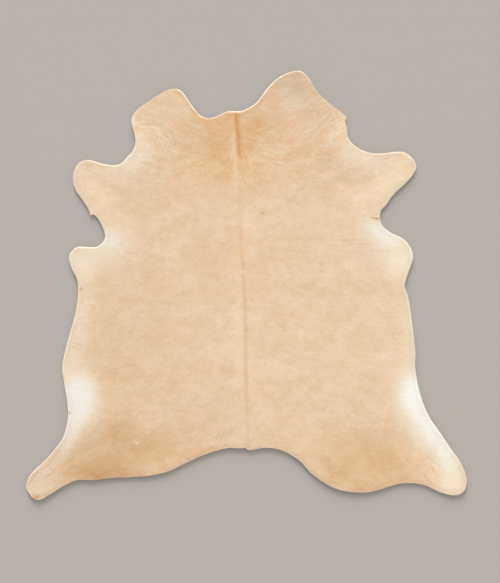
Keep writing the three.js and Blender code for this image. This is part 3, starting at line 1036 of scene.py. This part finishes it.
def lock_corners(hide, x, y, lie, length, rng):
    """The five corners of each lock, in the order of their names."""
    wide = LOCK_HALF_WIDTH * rng.uniform(*LOCK_SIZES, len(x))
    aside = np.column_stack([-lie[:, 1], lie[:, 0]]) * wide[:, None]
    root = np.column_stack([x, y])
    middle = root + lie * (length * LOCK_MIDDLE)[:, None]
    tip = root + lie * length[:, None]
    tip_lift = LOCK_LIFT * rng.uniform(*TIP_LIFTS, len(x))
    corners = []
    for spot, lift in (
        (root, -ROOT_SINK),
        (middle + aside, SIDE_LIFT),
        (middle - aside, SIDE_LIFT),
        (middle, LOCK_LIFT),
        (tip, tip_lift),
    ):
        beyond = np.clip(-hide.depth(*spot.T), 0, None)
        height = hide.hair_bed(*spot.T) - LOCK_DROOP * beyond + lift + hide.curl(*spot.T)
        corners.append(np.column_stack([spot, height]))
    return np.stack(corners, 1)


def lock_colours(hide, corners, rng):
    """The colour of each corner of each lock: darker at the root, a painted highlight on the ridge, lighter
    at the tip.
    """
    x, y = corners[:, ROOT, :2].T
    paler = at_neck(y, STREAK_SHADE, NECK_STREAK_SHADE) * streaks(x, y)
    paler += at_neck(y, LOCK_SHADE, NECK_LOCK_SHADE) * rng.normal(0, 1, len(x))
    own = paler[:, None] * towards_pale(y)
    root, middle, tip = (
        coat_colour(hide, *corners[:, corner, :2].T) + own for corner in (ROOT, MIDDLE, TIP)
    )
    return np.stack([root * ROOT_TINT, middle, middle, middle * RIDGE_HIGHLIGHT, tip * TIP_TINT], 1)


def coat_piece(hide, name, x, y, lie, length, material, seed):
    """One band of the coat. Each lock is a small ridged leaf of four triangles."""
    rng = np.random.default_rng(seed)
    corners = lock_corners(hide, x, y, lie, length, rng)
    points = corners.reshape(-1, 3)
    firsts = corners.shape[1] * np.arange(len(corners))
    faces = (LOCK_LEAF + firsts[:, None, None]).reshape(-1, 3)
    piece = new_piece(name, points, faces, [material])
    paint_points(piece.data, lock_colours(hide, corners, rng).reshape(-1, 3))
    keep_map(piece.data, *seen_from_above(points, faces))
    return piece


def coat(hide, material):
    """The whole coat, in bands from the rump to the neck with the same number of locks each."""
    shares = [np.array_split(values, len(COAT_BANDS)) for values in lock_places(hide)]
    return [
        coat_piece(hide, name, *band, material, BAND_SEED + place)
        for place, (name, *band) in enumerate(zip(COAT_BANDS, *shares))
    ]


def node_material(name):
    """A new node material, its main shader, and functions that add a node and join one to the shader."""
    material = bpy.data.materials.new(name)
    material.use_nodes = True
    nodes = material.node_tree.nodes
    shader = nodes["Principled BSDF"]

    def add(kind, settings, inputs):
        node = nodes.new(kind)
        for setting, value in settings.items():
            setattr(node, setting, value)
        for socket, value in inputs.items():
            if isinstance(value, bpy.types.NodeSocket):
                material.node_tree.links.new(value, node.inputs[socket])
            else:
                node.inputs[socket].default_value = value
        return node

    def join(output, socket):
        material.node_tree.links.new(output, shader.inputs[socket])

    return material, shader, add, join


def noise(add, scale, detail):
    """The value of a soft noise that is fixed to the piece."""
    place = add("ShaderNodeTexCoord", {}, {}).outputs["Object"]
    return add("ShaderNodeTexNoise", {}, {"Vector": place, "Scale": scale, "Detail": detail}).outputs["Fac"]


def finish_surface(shader, add, join, colour, grain):
    """Fine grain over a colour: a small change of shade, roughness and height."""
    level = noise(add, grain["scale"], GRAIN_DETAIL)

    def between(low, high):
        node = add("ShaderNodeMapRange", {}, {"Value": level, "To Min": low, "To Max": high})
        return node.outputs["Result"]

    def vector(operation, inputs):
        return add("ShaderNodeVectorMath", {"operation": operation}, inputs).outputs["Vector"]

    tint = vector("SCALE", {0: GRAIN_TINT, "Scale": between(-GRAIN_SWING, GRAIN_SWING)})
    join(vector("MULTIPLY_ADD", {0: colour, 1: tint, 2: colour}), "Base Color")
    join(between(*grain["roughness"]), "Roughness")
    bump = add("ShaderNodeBump", {}, {"Height": level, "Strength": GRAIN_BUMP, "Distance": grain["height"]})
    join(bump.outputs["Normal"], "Normal")
    shader.inputs["Specular IOR Level"].default_value = GLOSS


def hair_material(name):
    """Hair in the coat's own colours, with a faint sheen."""
    material, shader, add, join = node_material(name)
    colour = add("ShaderNodeAttribute", {"attribute_name": "coat"}, {}).outputs["Color"]
    finish_surface(shader, add, join, colour, HAIR_GRAIN)
    shader.inputs["Sheen Weight"].default_value = SHEEN
    shader.inputs["Sheen Roughness"].default_value = SHEEN_ROUGHNESS
    return material


def leather_material(name, code, grain):
    """Bare leather of one colour, blotched and grained."""
    material, shader, add, join = node_material(name)
    ramp = add("ShaderNodeValToRGB", {}, {"Fac": noise(add, BLOTCH_SCALE, BLOTCH_DETAIL)})
    light = linear(shade(code))
    for stop, position, share in zip(ramp.color_ramp.elements, BLOTCH_RANGE, (BLOTCH_DARK, 1)):
        stop.position = position
        stop.color = (*(light * share), 1)
    finish_surface(shader, add, join, ramp.outputs["Color"], grain)
    return material


def floor_material():
    """A plain pale floor."""
    material, shader = node_material("pale_floor")[:2]
    shader.inputs["Base Color"].default_value = (*linear(shade(FLOOR_GREY)), 1)
    shader.inputs["Roughness"].default_value = FLOOR_ROUGHNESS
    return material


def floor():
    """A wide plain floor just under the rug."""
    mesh = bpy.data.meshes.new("floor")
    sides = [(-1, -1), (1, -1), (1, 1), (-1, 1)]
    corners = [(FLOOR_REACH * across, FLOOR_REACH * along, FLOOR_HEIGHT) for across, along in sides]
    mesh.from_pydata(corners, [], [(0, 1, 2, 3)])
    mesh.materials.append(floor_material())
    ground = bpy.data.objects.new("floor", mesh)
    bpy.context.scene.collection.objects.link(ground)


def soft_sun(name, azimuth, elevation, strength, softness):
    """A broad even light."""
    lamp = bpy.data.lights.new(name, "SUN")
    lamp.energy = strength
    lamp.angle = np.radians(softness)
    holder = bpy.data.objects.new(name, lamp)
    turn = np.radians(azimuth)
    tilt = np.radians(elevation)
    towards = Vector((np.cos(turn) * np.cos(tilt), np.sin(turn) * np.cos(tilt), np.sin(tilt)))
    holder.rotation_euler = towards.to_track_quat("Z", "Y").to_euler()
    bpy.context.scene.collection.objects.link(holder)


def pale_room():
    """The world round the rug, its brightness changing with height."""
    world = bpy.data.worlds.new("room")
    world.use_nodes = True
    nodes = world.node_tree.nodes
    links = world.node_tree.links
    place = nodes.new("ShaderNodeTexCoord")
    parts = nodes.new("ShaderNodeSeparateXYZ")
    links.new(place.outputs["Generated"], parts.inputs["Vector"])
    walls = nodes.new("ShaderNodeValToRGB")
    links.new(parts.outputs["Z"], walls.inputs["Fac"])
    stops = walls.color_ramp.elements
    for height, _ in WALL_LIGHT[len(stops):]:
        stops.new(height)
    for stop, (height, share) in zip(stops, WALL_LIGHT):
        stop.position = height
        stop.color = (*(share * ROOM_TINT), 1)
    back = nodes["Background"]
    links.new(walls.outputs["Color"], back.inputs["Color"])
    back.inputs["Strength"].default_value = WALL_BRIGHTNESS
    return world


def light_room():
    """Soft light: a weak sun from high up, a strong one from low at the head end, and a pale room."""
    for sun in SUNS:
        soft_sun(*sun)
    bpy.context.scene.world = pale_room()
    bpy.context.scene.view_settings.view_transform = "Standard"


def camera():
    """Straight above the middle of the photo, its frame as many pixels high as the photo's."""
    eye = bpy.data.cameras.new("camera")
    eye.lens = LENS_MM
    eye.sensor_width = SENSOR_MM
    eye.clip_start = CLIP_START
    eye.clip_end = CLIP_END
    holder = bpy.data.objects.new("camera", eye)
    height = PIXEL_HEIGHT + PHOTO_HEIGHT_PX * PIXEL * LENS_MM / SENSOR_MM
    across = (PHOTO_WIDTH_PX / 2 - MIDDLE_X_PX) * PIXEL
    along = (MIDDLE_Y_PX - PHOTO_HEIGHT_PX / 2) * PIXEL
    holder.location = (across, along, height)
    bpy.context.scene.collection.objects.link(holder)
    bpy.context.scene.camera = holder


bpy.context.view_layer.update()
camera()
light_room()
floor()
cowhide = Hide()
skin = hide_skin(cowhide, [
    hair_material("undercoat"),
    leather_material("cut_leather", CUT_LEATHER, CUT_GRAIN),
    leather_material("suede", SUEDE, SUEDE_GRAIN),
])
bands = coat(cowhide, hair_material("coat_hair"))
